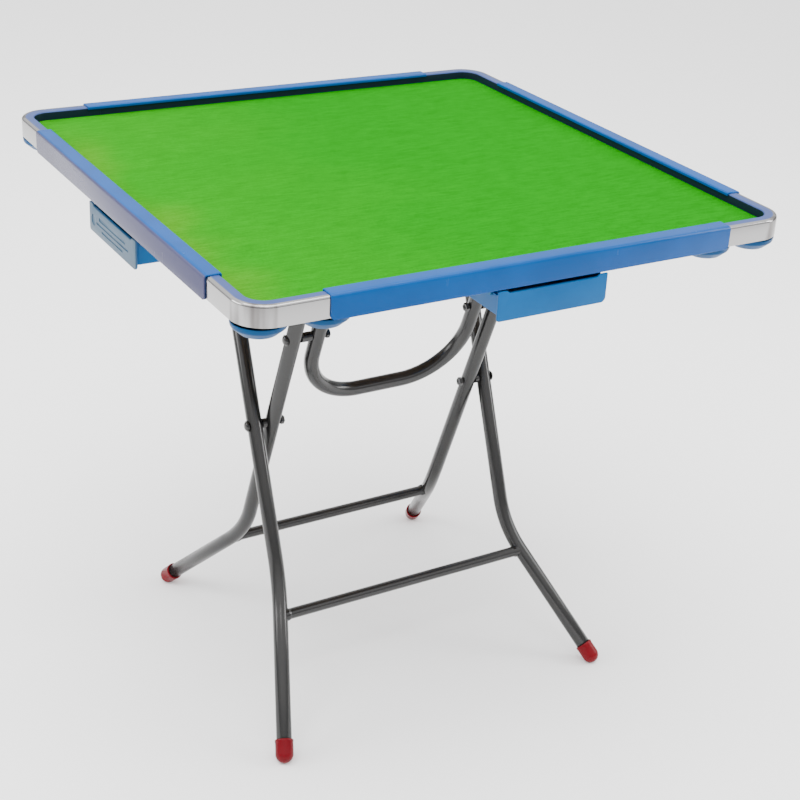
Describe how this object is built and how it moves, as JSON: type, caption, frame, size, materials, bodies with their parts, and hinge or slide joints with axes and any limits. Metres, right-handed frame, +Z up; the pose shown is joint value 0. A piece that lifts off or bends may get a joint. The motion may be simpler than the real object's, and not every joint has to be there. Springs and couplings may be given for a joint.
{
  "type": "folding card table",
  "caption": "Square folding card table: green cloth playing surface in a raised rim, chip drawers, swing-out cups, and crossed tube legs that fold flat.",
  "frame": {"origin": "on the floor, under the centre of the top", "axes": "+Z up, -Y towards the front (the side whose crossed legs have the wider feet), +X to the right seen from the front"},
  "size_m": [0.8046, 0.8046, 0.7723],
  "materials": {
    "cloth": "short green playing cloth, matt",
    "board": "plain wood-fibre board, painted grey-brown underneath",
    "rim": "satin blue-grey coat on rolled steel",
    "corner": "polished",
    "guard": "semi-gloss moulded plastic",
    "drawer": "semi-gloss moulded plastic",
    "cup": "semi-gloss moulded plastic",
    "cradle": "moulded plastic",
    "tube": "gloss dark powder coat on steel tube",
    "cap": "gloss moulded plastic",
    "steel": "bright zinc plate"
  },
  "bodies": {
    "tabletop": {"playing_board": "board", "playing_cloth": "cloth", "rim_rail_front": "rim", "rim_rail_right": "rim", "rim_rail_back": "rim", "rim_rail_left": "rim", "rim_corner_front_left": "corner", "rim_corner_front_right": "corner", "rim_corner_back_right": "corner", "rim_corner_back_left": "corner", "edge_guard_front": "guard", "edge_guard_right": "guard", "edge_guard_back": "guard", "edge_guard_left": "guard", "drawer_cradle_front": "cradle", "drawer_cradle_right": "cradle", "drawer_cradle_back": "cradle", "drawer_cradle_left": "cradle", "hinge_bracket_left": "steel", "hinge_bracket_right": "steel", "hinge_pin_left": "steel", "hinge_pin_right": "steel", "prop_bracket_left": "steel", "prop_bracket_right": "steel", "prop_rivet_left": "steel", "prop_rivet_right": "steel", "board_batten_left": "board", "board_batten_right": "board"},
    "rear_leg_frame": {"rear_leg_left": "tube", "rear_leg_right": "tube", "rear_crossbar": "tube", "brace_tube": "tube", "brace_bolt_left": "steel", "brace_bolt_right": "steel", "crossing_bolt_left": "steel", "crossing_bolt_right": "steel", "foot_cap_rear_left": "cap", "foot_cap_rear_right": "cap"},
    "front_leg_frame": {"front_leg_left": "tube", "front_leg_right": "tube", "front_crossbar": "tube", "foot_cap_front_left": "cap", "foot_cap_front_right": "cap"},
    "left_prop": {"prop_link_left": "tube", "prop_bolt_left": "steel"},
    "right_prop": {"prop_link_right": "tube", "prop_bolt_right": "steel"},
    "front_drawer": {"drawer_front": "drawer"},
    "right_drawer": {"drawer_right": "drawer"},
    "back_drawer": {"drawer_back": "drawer"},
    "left_drawer": {"drawer_left": "drawer"},
    "front_left_edge_cup": {"edge_cup_front_left": "cup"},
    "front_left_corner_cup": {"corner_cup_front_left": "cup"},
    "front_right_edge_cup": {"edge_cup_front_right": "cup"},
    "front_right_corner_cup": {"corner_cup_front_right": "cup"},
    "back_left_edge_cup": {"edge_cup_back_left": "cup"},
    "back_left_corner_cup": {"corner_cup_back_left": "cup"},
    "back_right_edge_cup": {"edge_cup_back_right": "cup"},
    "back_right_corner_cup": {"corner_cup_back_right": "cup"}
  },
  "joints": [
    {"name": "leg_fold", "type": "hinge", "parent": "tabletop", "child": "rear_leg_frame", "pos_m": [0, -0.12116, 0.71], "axis": [1, 0, 0], "range_deg": [0, 65]},
    {"name": "scissor", "type": "hinge", "parent": "rear_leg_frame", "child": "front_leg_frame", "pos_m": [0, 0, 0.396], "axis": [1, 0, 0], "range_deg": [0, 43.31]},
    {"name": "left_prop_swing", "type": "hinge", "parent": "tabletop", "child": "left_prop", "pos_m": [0, 0.07809, 0.722], "axis": [1, 0, 0], "range_deg": [-86.7, 0]},
    {"name": "right_prop_swing", "type": "hinge", "parent": "tabletop", "child": "right_prop", "pos_m": [0, 0.07809, 0.722], "axis": [1, 0, 0], "range_deg": [-86.7, 0]},
    {"name": "front_drawer_slide", "type": "slide", "parent": "tabletop", "child": "front_drawer", "axis": [0, -1, 0], "range_m": [0, 0.105]},
    {"name": "right_drawer_slide", "type": "slide", "parent": "tabletop", "child": "right_drawer", "axis": [1, 0, 0], "range_m": [0, 0.105]},
    {"name": "back_drawer_slide", "type": "slide", "parent": "tabletop", "child": "back_drawer", "axis": [0, 1, 0], "range_m": [0, 0.105]},
    {"name": "left_drawer_slide", "type": "slide", "parent": "tabletop", "child": "left_drawer", "axis": [-1, 0, 0], "range_m": [0, 0.105]},
    {"name": "front_left_edge_cup_swing", "type": "hinge", "parent": "tabletop", "child": "front_left_edge_cup", "pos_m": [-0.20731, -0.358, 0.735], "axis": [0, 0, 1], "range_deg": [0, 80]},
    {"name": "front_left_corner_cup_swing", "type": "hinge", "parent": "tabletop", "child": "front_left_corner_cup", "pos_m": [-0.358, -0.28431, 0.735], "axis": [0, 0, -1], "range_deg": [0, 80]},
    {"name": "front_right_edge_cup_swing", "type": "hinge", "parent": "tabletop", "child": "front_right_edge_cup", "pos_m": [0.20731, -0.358, 0.735], "axis": [0, 0, -1], "range_deg": [0, 80]},
    {"name": "front_right_corner_cup_swing", "type": "hinge", "parent": "tabletop", "child": "front_right_corner_cup", "pos_m": [0.358, -0.28431, 0.735], "axis": [0, 0, 1], "range_deg": [0, 80]},
    {"name": "back_left_edge_cup_swing", "type": "hinge", "parent": "tabletop", "child": "back_left_edge_cup", "pos_m": [-0.20731, 0.358, 0.735], "axis": [0, 0, -1], "range_deg": [0, 80]},
    {"name": "back_left_corner_cup_swing", "type": "hinge", "parent": "tabletop", "child": "back_left_corner_cup", "pos_m": [-0.358, 0.28431, 0.735], "axis": [0, 0, 1], "range_deg": [0, 80]},
    {"name": "back_right_edge_cup_swing", "type": "hinge", "parent": "tabletop", "child": "back_right_edge_cup", "pos_m": [0.20731, 0.358, 0.735], "axis": [0, 0, 1], "range_deg": [0, 80]},
    {"name": "back_right_corner_cup_swing", "type": "hinge", "parent": "tabletop", "child": "back_right_corner_cup", "pos_m": [0.358, 0.28431, 0.735], "axis": [0, 0, -1], "range_deg": [0, 80]}
  ],
  "couplings": [
    {"joint": "scissor", "follows": "leg_fold", "ratio": 0.66615},
    {"joint": "left_prop_swing", "follows": "leg_fold", "ratio": -1.3336},
    {"joint": "right_prop_swing", "follows": "leg_fold", "ratio": -1.3336}
  ]
}
